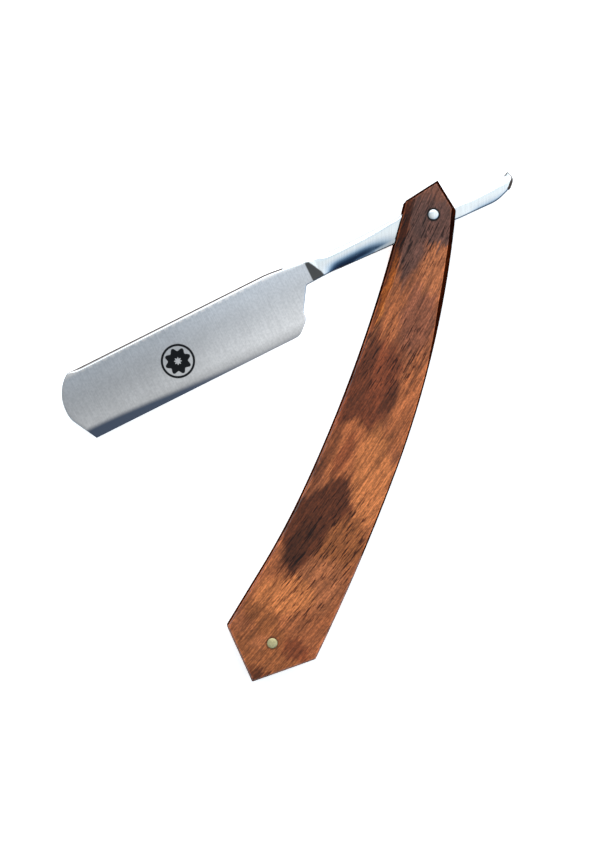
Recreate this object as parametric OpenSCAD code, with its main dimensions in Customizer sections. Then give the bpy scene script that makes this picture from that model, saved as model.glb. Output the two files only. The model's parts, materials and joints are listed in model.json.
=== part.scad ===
// Straight razor that lies on its side: two wooden scales joined by a pivot pin
// and a wedge pin, with a one-piece steel blade that folds between them.
// The origin is on the pivot pin's axis, in the plane that the razor lies on.
// +Z runs up the pin, +Y from the wedge pin to the pivot pin, +X to the convex side.

/* [Handle outline] */
// Distance between the pivot pin and the wedge pin
pin_spacing = 138; // [136:0.5:146]
// How far the point at the pivot end reaches past the pivot pin
tip_reach = 10.3; // [8.5:0.1:14]
// How far the point at the wedge end reaches past the wedge pin
butt_reach = 13; // [10:0.1:18]
// Half of the handle's width beside the pivot, on the concave side
throat_x = 5.8; // [5.6:0.1:8]
// Distance of the convex edge's crest from the line through both pins
belly_x = 16.8; // [16:0.1:19]
// Radius of the convex edge from its crest to the pivot end
belly_r_upper = 308; // [290:1:360]
// Radius of the convex edge from its crest to the wedge end
belly_r_lower = 650; // [500:5:900]
// Radius of the long concave edge
throat_r = 467; // [420:1:600]
// Radius of the tighter bend at the foot of the concave edge
curl_r = 240; // [180:5:300]

/* [Handle section] */
// Thickness of one scale
scale_t = 2.9; // [2.2:0.1:3.6]
// Gap between the scales
gap = 4.8; // [4.7:0.1:6]
// Width of the bevel around the outer face at the pivot end
bevel_pivot = 2.0; // [0.6:0.1:2.2]
// Width of the bevel around the outer face at the wedge end
bevel_butt = 0.5; // [0.3:0.1:1.2]
// Depth of the bevel
bevel_depth = 1.0; // [0.3:0.1:1.5]

/* [Pins and washers] */
// Diameter of both pins
pin_d = 3.2; // [2.4:0.1:3.6]
// Height of the peened dome on the front end of each pin
dome_h = 0.2; // [0.1:0.05:0.4]
// Outer diameter of the washers beside the tang
washer_d = 6.2; // [5.4:0.1:6.6]
// Thickness of one washer
washer_t = 0.45; // [0.3:0.05:0.6]
// Clearance of the blade on the pin and between the washers
play = 0.05; // [0.02:0.01:0.1]

/* [Blade] */
// How far the blade stands open at rest, from lying along the handle
open_angle = 42.6; // [0:0.1:230]
// Distance from the pivot to the front of the toe
blade_reach = 125.7; // [115:0.1:126]
// Distance from the pivot to the heel
heel_s = 48.1; // [46:0.1:56]
// Distance of the back of the spine from the pivot, across the blade
spine_w = 6.8; // [6.2:0.1:8]
// Distance of the cutting edge from the pivot, across the blade
edge_w = 14.55; // [12.5:0.05:14.6]
// Thickness at the spine
spine_t = 4.3; // [3.4:0.1:4.4]
// Thickness at the cutting edge
edge_t = 0.2; // [0.1:0.05:0.4]
// How deep the hollow grind sinks below a straight wedge
hollow = 0.45; // [0.1:0.05:0.6]

/* [Tail] */
// Distance from the pivot to the end of the tail
tail_reach = 27.2; // [22:0.1:30]
// Radius of the tail's outer curve
tail_r = 12; // [6:0.5:14]

/* [Hidden] */

wood = "#8a5636";
dark_wood = "#4a2e20";
steel = "#c3c6cb";
brass = "#b9a46a";

pin_r = pin_d/2;
fine = 96;             // facets on round parts
smooth_step = 10;      // segments in each long arc of the handle
arc_angle = 6;         // largest turn of one segment in a rounded corner
over = 1;              // how far cutters run past a face

handle_t = 2*scale_t + gap;
mid_z = handle_t/2;
tang_t = gap - 2*washer_t - 2*play;

// The handle's shoulders, where the sides meet the pointed ends
tip_x = -2.4;
shoulder_left_y = 1.1;
shoulder_right_y = 3.8;
butt_tip_x = -1.5;
crest_y = -0.558*pin_spacing;
throat_y = -0.402*pin_spacing;
curl_y = -0.667*pin_spacing;
straight_y = -0.855*pin_spacing;
taper_start_y = -22;   // the bevel narrows from here
taper_end_y = -50;     // to here, towards the wedge end
wedge_top_y = -pin_spacing + 9.5;

spine_round = 1.1;     // radius along the back of the spine
ground_start = heel_s - 7;
overlap = 4;           // how far the ground part runs into the shank

function arc(cx, cy, r, from, to, steps) = [
    for (i = [0:steps])
        let (a = from + (to - from)*i/steps) [cx + r*cos(a), cy + r*sin(a)]
];

function unit(v) = v/norm(v);

// Turn from direction u to direction v, from -180 to 180 degrees
function turn(u, v) = atan2(u[0]*v[1] - u[1]*v[0], u*v);

// An outline through corners [x, y, radius], each rounded by an arc of its radius
function rounded(corners) = [
    for (i = [0:len(corners) - 1])
        let (n = len(corners), c = corners[i], p = [c[0], c[1]])
        let (before = corners[(i + n - 1) % n], after = corners[(i + 1) % n])
        let (u = unit(p - [before[0], before[1]]), v = unit([after[0], after[1]] - p))
        let (bend = turn(u, v), run = c[2]*tan(abs(bend)/2), steps = max(1, ceil(abs(bend)/arc_angle)))
        let (side = sign(bend), centre = p - run*u + side*c[2]*[-u[1], u[0]])
        each c[2] == 0 ? [p] : [
            for (k = [0:steps])
                let (a = bend*k/steps)
                centre - side*c[2]*[-u[1]*cos(a) - u[0]*sin(a), u[0]*cos(a) - u[1]*sin(a)]
        ]
];

// Vector that moves corner i of a counter-clockwise outline inwards by one unit
function miter(p, i) =
    let (n = len(p), u = unit(p[i] - p[(i + n - 1) % n]), v = unit(p[(i + 1) % n] - p[i]))
    let (a = [-u[1], u[0]], b = [-v[1], v[0]]) (a + b)/(1 + a*b);

// The concave side: a long arc, a tighter arc tangent to it, then a straight run
function throat_side() =
    let (cx = -throat_x - throat_r)
    let (from = asin((shoulder_left_y - throat_y)/throat_r), bend = asin((curl_y - throat_y)/throat_r))
    let (joint = [cx + throat_r*cos(bend), throat_y + throat_r*sin(bend)])
    let (c2 = joint - curl_r*[cos(bend), sin(bend)], to = asin((straight_y - c2[1])/curl_r))
    let (foot = c2 + curl_r*[cos(to), sin(to)], drop = -pin_spacing - foot[1])
    concat(
        arc(cx, throat_y, throat_r, from, bend, smooth_step),
        [for (i = [1:smooth_step]) let (a = bend + (to - bend)*i/smooth_step) c2 + curl_r*[cos(a), sin(a)]],
        [foot + [-tan(to)*drop, drop]]
    );

// The convex side: two arcs that share their crest
function belly_side() =
    let (low = asin((-pin_spacing - crest_y)/belly_r_lower))
    let (high = asin((shoulder_right_y - crest_y)/belly_r_upper))
    concat(
        arc(belly_x - belly_r_lower, crest_y, belly_r_lower, low, 0, smooth_step),
        [for (i = [1:smooth_step])
            [belly_x - belly_r_upper*(1 - cos(high*i/smooth_step)),
             crest_y + belly_r_upper*sin(high*i/smooth_step)]]
    );

// The whole outline of a scale, counter-clockwise from the point at the pivot end
handle_outline = concat(
    [[tip_x, tip_reach]],
    throat_side(),
    [[butt_tip_x, -pin_spacing - butt_reach]],
    belly_side()
);

function bevel_at(y) =
    bevel_butt + (bevel_pivot - bevel_butt)
        *min(1, max(0, (y - taper_end_y)/(taper_start_y - taper_end_y)));

handle_inner = [
    for (i = [0:len(handle_outline) - 1])
        handle_outline[i] + bevel_at(handle_outline[i][1])*miter(handle_outline, i)
];

// A closed solid between outlines of equal length at rising heights
module stack(outlines, heights) {
    n = len(outlines[0]);
    last = len(outlines) - 1;
    points = [for (k = [0:last]) for (p = outlines[k]) [p[0], p[1], heights[k]]];
    sides = [
        for (k = [0:last - 1]) for (i = [0:n - 1])
            let (a = k*n + i, b = k*n + (i + 1) % n)
            each [[a, a + n, b + n], [a, b + n, b]]
    ];
    polyhedron(points, concat(
        [[for (i = [0:n - 1]) i]], sides, [[for (i = [n - 1:-1:0]) last*n + i]]
    ));
}

module pin_bore(y, z, h) {
    translate([0, y, z - over])
        cylinder(r = pin_r, h = h + 2*over, $fn = fine);
}

module rear_scale() {
    color(wood) difference() {
        stack([handle_inner, handle_outline, handle_outline], [0, bevel_depth, scale_t]);
        pin_bore(0, 0, scale_t);
        pin_bore(-pin_spacing, 0, scale_t);
    }
}

module front_scale() {
    base = scale_t + gap;
    color(wood) difference() {
        stack([handle_outline, handle_outline, handle_inner], [base, handle_t - bevel_depth, handle_t]);
        pin_bore(0, base, scale_t);
        pin_bore(-pin_spacing, base, scale_t);
    }
}

// A pin with a flat rear end and a peened dome on its front end
module peened_pin(y) {
    dome_r = (pin_r*pin_r + dome_h*dome_h)/(2*dome_h);
    translate([0, y, 0]) {
        cylinder(r = pin_r, h = handle_t, $fn = fine);
        intersection() {
            translate([0, 0, handle_t - over])
                cylinder(r = pin_r, h = over + dome_h, $fn = fine);
            translate([0, 0, handle_t + dome_h - dome_r])
                sphere(r = dome_r, $fn = 2*fine);
        }
    }
}

module pivot_pin() {
    color(steel) peened_pin(0);
}

module wedge_pin() {
    color(brass) peened_pin(-pin_spacing);
}

module wedge() {
    width = 2*(belly_x + throat_x) + pin_spacing;
    color(dark_wood) difference() {
        translate([0, 0, scale_t]) linear_extrude(gap) intersection() {
            polygon(handle_outline);
            translate([-width/2, wedge_top_y - width]) square(width);
        }
        pin_bore(-pin_spacing, scale_t, gap);
    }
}

module washer(z) {
    color(brass) translate([0, 0, z]) difference() {
        cylinder(d = washer_d, h = washer_t, $fn = fine);
        translate([0, 0, -over])
            cylinder(r = pin_r + play, h = washer_t + 2*over, $fn = fine);
    }
}

module rear_washer() {
    washer(scale_t);
}

module front_washer() {
    washer(scale_t + gap - washer_t);
}

// Section across the ground part of the blade: round-backed spine, hollow-ground faces
module blade_section() {
    spine_face = -spine_w + spine_round;
    half = [edge_w - spine_face, (edge_t - spine_t)/2];
    chord = norm(half);
    grind_r = (chord*chord/4 + hollow*hollow)/(2*hollow);
    centre = [(edge_w + spine_face)/2, (spine_t + edge_t)/4]
        + (grind_r - hollow)*[-half[1], half[0]]/chord;
    difference() {
        union() {
            translate([spine_face, -spine_t/2]) square([edge_w - spine_face, spine_t]);
            translate([-spine_w, spine_round - spine_t/2])
                square([spine_round + over, spine_t - 2*spine_round]);
            for (side = [-1, 1])
                translate([spine_face, side*(spine_t/2 - spine_round)])
                    circle(r = spine_round, $fn = fine);
        }
        for (side = [-1, 1])
            translate([centre[0], side*centre[1]]) circle(r = grind_r, $fn = 12*fine);
    }
}

// Outline of the ground part, along the blade (towards the toe) and across it (towards the edge):
// spine, bowed toe, slanted nose, cutting edge, rounded heel and the throat behind it
blade_outline = rounded([
    [ground_start - overlap, -4.85, 0],
    [ground_start + 2, -5.6, 20],
    [ground_start + 12, -spine_w, 30],
    [blade_reach - 5.4, -spine_w, 0.4],
    [blade_reach, -2.75, 12],
    [blade_reach, 5.8, 7],
    [blade_reach - 4.7, edge_w, 0.3],
    [heel_s + 4.1, edge_w, 4],
    [heel_s, edge_w - 3.65, 3],
    [heel_s - 0.1, edge_w - 5.95, 3],
    [heel_s - 4.5, 1.75, 0.8],
    [ground_start - overlap, 1.6, 0]
]);

// Outline of the shank, the tang around the pivot and the curled tail, in the same directions
tang_outline = rounded([
    [ground_start, -5.3, 0],
    [30, -4.45, 40],
    [12, -4.5, 30],
    [1.5, -4.4, 4],
    [-5.8, 0.4, 5],
    [-17, 0.75, 20],
    [3.7 - tail_reach, -0.2, 12],
    [0.5 - tail_reach, -1.75, 0.3],
    [-tail_reach - 0.2, 1.1, 2],
    [1.9 - tail_reach, 3.2, 2],
    [7.5 - tail_reach, 5, tail_r],
    [-7, 4.5, 20],
    [14, 2.55, 30],
    [36, 1.6, 20],
    [ground_start, 1.65, 0]
]);

module blade() {
    color(steel) translate([0, 0, mid_z]) rotate([0, 0, -90 - open_angle]) difference() {
        union() {
            intersection() {
                translate([0, 0, -spine_t]) linear_extrude(2*spine_t) polygon(blade_outline);
                translate([ground_start - 2*overlap, 0, 0]) rotate([90, 0, 90])
                    linear_extrude(blade_reach) blade_section();
            }
            translate([0, 0, -tang_t/2]) linear_extrude(tang_t) polygon(tang_outline);
        }
        translate([0, 0, -spine_t])
            cylinder(r = pin_r + play, h = 2*spine_t, $fn = fine);
    }
}

rear_scale();
front_scale();
blade();
pivot_pin();
wedge_pin();
wedge();
rear_washer();
front_washer();
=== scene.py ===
import json
from functools import partial
from math import asin, atan2, ceil, cos, degrees, hypot, pi, radians, sin, tan
from types import SimpleNamespace

import bpy
import numpy as np
from bpy.props import FloatProperty, FloatVectorProperty, PointerProperty
from mathutils import Matrix, Vector
from mathutils.geometry import delaunay_2d_cdt


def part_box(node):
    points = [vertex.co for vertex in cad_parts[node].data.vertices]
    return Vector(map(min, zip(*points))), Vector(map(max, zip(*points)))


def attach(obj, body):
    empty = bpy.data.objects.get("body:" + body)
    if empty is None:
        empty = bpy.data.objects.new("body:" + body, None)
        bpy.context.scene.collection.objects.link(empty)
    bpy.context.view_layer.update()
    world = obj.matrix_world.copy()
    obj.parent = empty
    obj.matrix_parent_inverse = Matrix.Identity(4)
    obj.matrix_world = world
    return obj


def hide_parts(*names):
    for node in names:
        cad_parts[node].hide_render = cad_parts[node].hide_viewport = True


bl_info = {
    "name": "Straight Razor",
    "version": (1, 0, 0),
    "blender": (4, 5, 0),
    "location": "3D View > Sidebar > Razor",
    "description": "Builds a straight razor with rosewood scales around its packed CAD frame",
    "category": "Add Mesh",
}

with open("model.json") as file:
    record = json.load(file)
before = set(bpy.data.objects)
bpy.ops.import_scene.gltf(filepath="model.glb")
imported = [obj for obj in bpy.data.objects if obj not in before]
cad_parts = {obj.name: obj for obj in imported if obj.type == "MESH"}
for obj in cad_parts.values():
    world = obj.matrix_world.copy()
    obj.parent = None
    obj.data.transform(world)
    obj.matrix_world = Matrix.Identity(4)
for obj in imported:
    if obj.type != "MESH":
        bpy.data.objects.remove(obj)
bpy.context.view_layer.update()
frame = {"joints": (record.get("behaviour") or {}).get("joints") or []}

MM = 0.001
HANDLE = "handle"
BLADE = "blade"
PIVOT = frame["joints"][0]


# ---------------------------------------------------------------- measures of the frame

def mm_box(node):
    """Lowest and highest corner of a CAD node, in millimetres."""
    low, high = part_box(node)
    return low / MM, high / MM


def middle(node):
    """Middle of a CAD node's box, in millimetres."""
    low, high = mm_box(node)
    return (low + high) / 2


REAR_Z = [corner.z for corner in mm_box("rear_scale")]
FRONT_Z = [corner.z for corner in mm_box("front_scale")]
PIVOT_PIN = middle("pivot_pin")
WEDGE_PIN = middle("wedge_pin")
PIN_R = (mm_box("pivot_pin")[1].x - mm_box("pivot_pin")[0].x) / 2
PIN_TOP = mm_box("pivot_pin")[1].z
BLADE_Z = PIVOT["pos_m"][2] / MM
SPINE_T = mm_box("blade")[1].z - mm_box("blade")[0].z
WEDGE_TOP_Y = mm_box("wedge")[1].y
HANDLE_LOW, HANDLE_HIGH = mm_box("front_scale")


# ---------------------------------------------------------------- sizes and colours

def length(name, default, description):
    """A length that the user may change, given here in millimetres."""
    return FloatProperty(
        name=name, description=description, default=default * MM, unit="LENGTH", precision=5
    )


def to_linear(code):
    """The linear colour of an sRGB hex code such as #c6824f."""
    parts = [int(code[i:i + 2], 16) / 255 for i in (1, 3, 5)]
    return [c / 12.92 if c <= 0.04045 else ((c + 0.055) / 1.055) ** 2.4 for c in parts]


def colour(name, code, description):
    """A colour that the user may change, given here as an sRGB hex code."""
    return FloatVectorProperty(
        name=name, description=description, default=to_linear(code),
        subtype="COLOR", size=3, min=0, max=1
    )


def in_mm(group):
    """The group's lengths in millimetres, and its other values as they are."""
    values = SimpleNamespace()
    for prop in group.bl_rna.properties:
        if prop.type == "FLOAT" and not prop.is_array:
            value = getattr(group, prop.identifier)
            setattr(values, prop.identifier, value / MM if prop.unit == "LENGTH" else value)
        elif prop.type == "FLOAT":
            setattr(values, prop.identifier, list(getattr(group, prop.identifier)))
    return values


class RazorHandle(bpy.types.PropertyGroup):
    """Outline and section of the two scales"""

    pin_spacing: length("Pin spacing", PIVOT_PIN.y - WEDGE_PIN.y, "Pivot pin to wedge pin")
    tip_reach: length("Tip reach", HANDLE_HIGH.y, "Upper point past the pivot pin")
    butt_reach: length("Butt reach", WEDGE_PIN.y - HANDLE_LOW.y, "Lower point past the wedge pin")
    belly_x: length("Belly", HANDLE_HIGH.x, "Crest of the convex edge from the pin line")
    throat_x: length("Throat", 5.8, "Waist of the concave edge from the pin line")
    belly_r_upper: length("Upper belly radius", 308, "Convex edge from crest to pivot end")
    belly_r_lower: length("Lower belly radius", 650, "Convex edge from crest to wedge end")
    throat_r: length("Throat radius", 467, "Long concave edge")
    curl_r: length("Curl radius", 240, "Tighter bend at the foot of the concave edge")
    bevel_pivot: length("Bevel at pivot", 2.0, "Width of the filed bevel at the pivot end")
    bevel_butt: length("Bevel at wedge", 0.5, "Width of the filed bevel at the wedge end")
    bevel_depth: length("Bevel depth", 1.0, "How deep the filed bevel goes")


class RazorBlade(bpy.types.PropertyGroup):
    """Outline and section of the blade"""

    open_angle: FloatProperty(
        name="Open angle", description="Opening of the blade at rest",
        default=radians(42.6), subtype="ANGLE"
    )
    reach: length("Reach", 125.7, "Pivot to the front of the toe")
    heel: length("Heel", 48.1, "Pivot to the heel")
    spine_w: length("Spine", 6.8, "Back of the spine from the pivot, across the blade")
    edge_w: length("Edge", 14.55, "Cutting edge from the pivot, across the blade")
    spine_round: length("Spine rounding", 1.1, "Radius along the back of the spine")
    edge_t: length("Edge thickness", 0.2, "Thickness at the cutting edge")
    hollow: length("Hollow", 0.45, "Depth of the hollow grind below a straight wedge")
    tang_t: length("Tang thickness", 3.8, "Thickness of the shank, tang and tail")
    tail_reach: length("Tail reach", 27.2, "Pivot to the end of the tail")
    mark_r: length("Roundel", 5.2, "Outer radius of the etched roundel")
    mark_s: length("Roundel along", 88.7, "Pivot to the roundel, along the blade")
    mark_w: length("Roundel across", 4.8, "Pivot to the roundel, across the blade")


class RazorFinish(bpy.types.PropertyGroup):
    """Colours of wood and metal"""

    wood_mid: colour("Wood", "#9e5834", "Main colour of the rosewood")
    wood_light: colour("Light figure", "#d37a43", "Lightest figure in the rosewood")
    wood_sand: colour("Sand figure", "#b5683e", "Sand-brown figure in the rosewood")
    wood_orange: colour("Orange figure", "#b76538", "Orange figure in the rosewood")
    # Painted light: orange figure brightened where the concave bevel faces the light
    wood_flame: colour("Flame figure", "#dc7c36", "Bright streak beside the concave bevel")
    wood_red: colour("Red figure", "#863e20", "Red-brown figure in the rosewood")
    wood_olive: colour("Olive figure", "#9f592e", "Olive-brown figure in the rosewood")
    wood_plum: colour("Plum figure", "#935339", "Purple-brown figure in the rosewood")
    wood_smoke: colour("Smoky figure", "#623f35", "Grey-brown figure around the pivot")
    wood_dark: colour("Dark figure", "#5d2b14", "Dark figure in the rosewood")
    wood_char: colour("Char figure", "#461f0b", "Darkest figure in the rosewood")
    # Painted shade: multiplies the wood on the filed bevel, darker than the face
    bevel_shade: colour("Bevel tint", "#c4b6aa", "Multiplies the wood on the filed bevel")
    # Painted shade: multiplies the wood on side walls, inner faces, the shaded bevels and the wedge
    edge_shade: colour("Edge tint", "#5a4236", "Multiplies the wood on the oil-soaked edges")
    steel: colour("Steel", "#d3d5d8", "Polished and ground steel")
    # Painted reflection: the band is partly the real honed band and partly painted dark slate for the
    # dark surroundings it reflects
    honed_reflection: colour("Honed band", "#4b5261", "Band beside the cutting edge")
    etch: colour("Etching", "#17181a", "Etched roundel")
    # Dark brown-black colour of the back of the spine and the tail's end
    skin: colour("Forged skin", "#40352f", "Back of the spine and end of the tail")
    # Paler patches in that dark brown-black
    skin_worn: colour("Worn skin", "#7d6a62", "Where the forged skin has rubbed thin")
    # Painted reflection: the run-out slope is painted dark grey for the darker surroundings it
    # reflects
    runout_reflection: colour("Run-out", "#6f6b68", "Slope between the ground face and the shank")
    satin: colour("Satin steel", "#c3bdbb", "Ground faces of the blade")
    brass: colour("Brass", "#c9bb8c", "Wedge pin and washers")
    floor: colour("Floor", "#fafafa", "Floor under the razor")


class RazorStage(bpy.types.PropertyGroup):
    """Camera and light"""

    camera_height: length("Camera height", 708, "Camera above the front scale's face")
    camera_lens: FloatProperty(
        name="Lens", description="Focal length of the camera, in millimetres",
        default=100.4, min=20, max=300
    )
    floor_size: length("Floor size", 4000, "Side of the square floor")
    softbox: length("Softbox", 700, "Side of the square softbox")
    softbox_power: FloatProperty(
        name="Softbox power", description="Power of the softbox", default=2.6, unit="POWER"
    )


# ---------------------------------------------------------------- outlines

def spread(start, stop, steps):
    """Evenly spaced values from start to stop, both included."""
    return [start + (stop - start) * i / steps for i in range(steps + 1)]


def smooth(x, start, stop):
    """0 before start, 1 after stop and a smooth rise between them."""
    t = min(1.0, max(0.0, (x - start) / (stop - start)))
    return t * t * (3 - 2 * t)


def turn(u, v):
    """Angle from direction u to direction v."""
    return atan2(u.x * v.y - u.y * v.x, u.dot(v))


def sides_at(loop, i):
    """Directions of the two sides that meet at point i of a closed loop."""
    before = (loop[i] - loop[i - 1]).normalized()
    after = (loop[(i + 1) % len(loop)] - loop[i]).normalized()
    return before, after


def fillet(point, u, v, radius, steps):
    """Points of an arc that rounds the corner between directions u and v."""
    bend = turn(u, v)
    side = 1 if bend > 0 else -1
    start = point - u * radius * tan(abs(bend) / 2)
    centre = start + side * radius * Vector((-u.y, u.x))
    spoke = start - centre
    return [centre + Matrix.Rotation(bend * k / steps, 2) @ spoke for k in range(steps + 1)]


def rounded(corners, step):
    """A closed outline through corners (x, y, radius), with a point at least every step."""
    points = [Vector(c[:2]) for c in corners]
    outline = []
    for i, (*_, radius) in enumerate(corners):
        u, v = sides_at(points, i)
        bend = abs(turn(u, v))
        steps = max(2, ceil(radius * bend / step), ceil(degrees(bend) / 15))
        outline += fillet(points[i], u, v, radius, steps)
    dense = []
    for p, q in zip(outline, outline[1:] + outline[:1]):
        parts = max(1, ceil((q - p).length / step))
        dense += [p.lerp(q, k / parts) for k in range(parts)]
    return dense


def inward(loop):
    """For each corner of a counter-clockwise loop, the move that insets both its sides by one."""
    sharpest = 0.3           # keeps the move of a very sharp corner in bounds
    moves = []
    for i in range(len(loop)):
        u, v = sides_at(loop, i)
        a = Vector((-u.y, u.x))
        b = Vector((-v.y, v.x))
        moves.append((a + b) / max(sharpest, 1 + a.dot(b)))
    return moves


def handle_sides(size):
    """The six sides of a scale as functions of 0..1, counter-clockwise from the upper point."""
    tip = Vector((-2.4, size.tip_reach))
    butt = Vector((-1.5, -size.pin_spacing - size.butt_reach))
    crest_y = -0.558 * size.pin_spacing
    throat_y = -0.402 * size.pin_spacing
    curl_y = -0.667 * size.pin_spacing
    straight_y = -0.855 * size.pin_spacing
    shoulder_left_y = 1.1
    shoulder_right_y = 3.8

    centre = Vector((-size.throat_x - size.throat_r, throat_y))
    start = asin((shoulder_left_y - throat_y) / size.throat_r)
    bend = asin((curl_y - throat_y) / size.throat_r)
    joint = centre + size.throat_r * Vector((cos(bend), sin(bend)))
    centre2 = joint - size.curl_r * Vector((cos(bend), sin(bend)))
    stop = asin((straight_y - centre2.y) / size.curl_r)
    foot = centre2 + size.curl_r * Vector((cos(stop), sin(stop)))
    drop = -size.pin_spacing - foot.y
    corner = foot + Vector((-tan(stop) * drop, drop))

    def throat(t):
        y = shoulder_left_y + t * (corner.y - shoulder_left_y)
        if y > curl_y:
            return Vector((centre.x + (size.throat_r ** 2 - (y - centre.y) ** 2) ** 0.5, y))
        if y > straight_y:
            return Vector((centre2.x + (size.curl_r ** 2 - (y - centre2.y) ** 2) ** 0.5, y))
        return foot.lerp(corner, (foot.y - y) / (foot.y - corner.y))

    def belly(t):
        y = -size.pin_spacing + t * (shoulder_right_y + size.pin_spacing)
        radius = size.belly_r_upper if y > crest_y else size.belly_r_lower
        return Vector((size.belly_x - radius + (radius ** 2 - (y - crest_y) ** 2) ** 0.5, y))

    def straight(p, q):
        return lambda t: p.lerp(q, t)

    return [
        straight(tip, throat(0)), throat, straight(corner, butt),
        straight(butt, belly(0)), belly, straight(belly(1), tip),
    ]


# Corners of a scale, counter-clockwise from the upper point: how far each is rounded off
CORNER_R = [0.25, 0.6, 0.5, 0.4, 1.0, 1.4]


def handle_ring(size, inset):
    """The handle's outline moved inwards by inset(point, side), its corners rounded off.

    Every ring has the same number of points, so that rings can be joined by quads.
    """
    sides = handle_sides(size)
    margin = 3.4             # from a corner to the first point beside it
    step = 1.0
    corner_steps = 6
    points = []
    corners = []
    for side in sides:
        count = max(3, round((side(1) - side(0)).length / step))
        edge = margin / (side(1) - side(0)).length
        corners.append(len(points))
        points += [side(0)] + [side(t) for t in spread(edge, 1 - edge, count)]
    moves = inward(points)
    moved = []
    side = -1
    for i, (p, m) in enumerate(zip(points, moves)):
        if i not in corners:
            moved.append(p + m * inset(p, side))
            continue
        u, v = sides_at(points, i)
        before = inset(p, side)
        side += 1
        after = inset(p, side)
        moved.append(p + (after * u - before * v) / (v.x * u.y - v.y * u.x))
    ring = []
    for i, p in enumerate(moved):
        if i not in corners:
            ring.append(p)
            continue
        u, v = sides_at(moved, i)
        ring += fillet(p, u, v, CORNER_R[corners.index(i)], corner_steps)
    return ring


def circle(centre, radius, steps=48):
    """A round loop about a point, counter-clockwise."""
    angles = [2 * pi * k / steps for k in range(steps)]
    return [Vector((centre.x + radius * cos(a), centre.y + radius * sin(a))) for a in angles]


# ---------------------------------------------------------------- mesh making

class Shell:
    """Collects points in millimetres and faces with a finish, and becomes one mesh."""

    def __init__(self):
        self.points = []
        self.faces = []
        self.finishes = []

    def add_loop(self, loop, heights):
        """Adds a loop of points and returns their numbers. heights is a number or a list."""
        if isinstance(heights, (int, float)):
            heights = [heights] * len(loop)
        first = len(self.points)
        self.points += [(p.x, p.y, z) for p, z in zip(loop, heights)]
        return list(range(first, first + len(loop)))

    def face(self, corners, finish=0):
        self.faces.append(corners)
        self.finishes.append(finish)

    def skin(self, low, high, finish=0):
        """Quads between two loops of equal length, facing outwards where high is above low.

        finish is one number, or one for each quad.
        """
        each = finish if isinstance(finish, list) else [finish] * len(low)
        for i in range(len(low)):
            self.face((low[i - 1], low[i], high[i], high[i - 1]), each[i])

    def bore(self, centre, profile, finish=0, order=1):
        """Wall of a hole through (radius, height) points. Returns its first and last rim.

        order is -1 where the heights fall from point to point.
        """
        loops = [self.add_loop(circle(centre, radius)[::order], z) for radius, z in profile]
        for low, high in zip(loops, loops[1:]):
            self.skin(high, low, finish)
        return loops[0], loops[-1]

    def cap(self, outer, holes, height, step, up=True, finish=0, fine=None):
        """Fills a loop, less its holes, with even triangles.

        height and finish are one value, or functions of a place.
        """
        rims = [outer, *holes]
        numbers = [n for rim in rims for n in rim]
        flat = [Vector(self.points[n][:2]) for n in numbers]
        edges = []
        start = 0
        for loop in rims:
            edges += [(start + k, start + (k + 1) % len(loop)) for k in range(len(loop))]
            start += len(loop)
        loops = [np.array([self.points[n][:2] for n in loop]) for loop in rims]
        inner = [Vector(p) for p in grid_inside(loops, step, fine)]
        merge = 1e-7
        coords, _, tris, origin, _, _ = delaunay_2d_cdt(flat + inner, edges, [], 0, merge, True)
        place = {}
        for i, sources in enumerate(origin):
            named = [n for n in sources if n < len(numbers)]
            if named:
                place[i] = numbers[named[0]]
            else:
                place[i] = len(self.points)
                z = height(*coords[i]) if callable(height) else height
                self.points.append((*coords[i], z))
        spots = {}
        for number, loop in enumerate(rims):
            spots.update({n: (number, k) for k, n in enumerate(loop)})
        x, y = loops[0].T
        forwards = np.sum(x * np.roll(y, -1) - y * np.roll(x, -1)) > 0

        def kept(corners):
            """False outside the outer loop, where corners run backwards, and in a hole."""
            found = [spots.get(n, (-1, 0)) for n in corners]
            if len({number for number, _ in found}) > 1 or found[0][0] == -1:
                return True
            if found[0][0] > 0:
                return False
            a, b, c = (k for _, k in found)
            return ((b - a) % len(outer) < (c - a) % len(outer)) == forwards

        for t in tris:
            corners = [place[n] for n in t]
            if kept(corners):
                centre = sum((coords[n] for n in t), Vector((0, 0))) / 3
                corners = corners if up else corners[::-1]
                self.face(corners, finish(*centre) if callable(finish) else finish)

    def build(self, name, materials, sharp=30):
        """Makes the object from the shell's points and faces."""
        mesh = bpy.data.meshes.new(name)
        mesh.from_pydata([[c * MM for c in p] for p in self.points], [], self.faces)
        for material in materials:
            mesh.materials.append(material)
        mesh.polygons.foreach_set("material_index", self.finishes)
        mesh.polygons.foreach_set("use_smooth", [True] * len(mesh.polygons))
        mesh.validate()
        mesh.update()
        mesh.set_sharp_from_angle(angle=radians(sharp))
        piece = bpy.data.objects.new(name, mesh)
        bpy.context.scene.collection.objects.link(piece)
        return piece


def inside(loops, points):
    """Which points lie inside the first loop and outside the others (odd count of crossings)."""
    x = points[:, 0]
    y = points[:, 1]
    odd = np.zeros(len(points), bool)
    for loop in loops:
        for p, q in zip(loop, np.roll(loop, -1, axis=0)):
            crosses = (p[1] > y) != (q[1] > y)
            rise = q[1] - p[1] if q[1] != p[1] else 1.0
            odd ^= crosses & (x < p[0] + (y - p[1]) * (q[0] - p[0]) / rise)
    return odd


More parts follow.
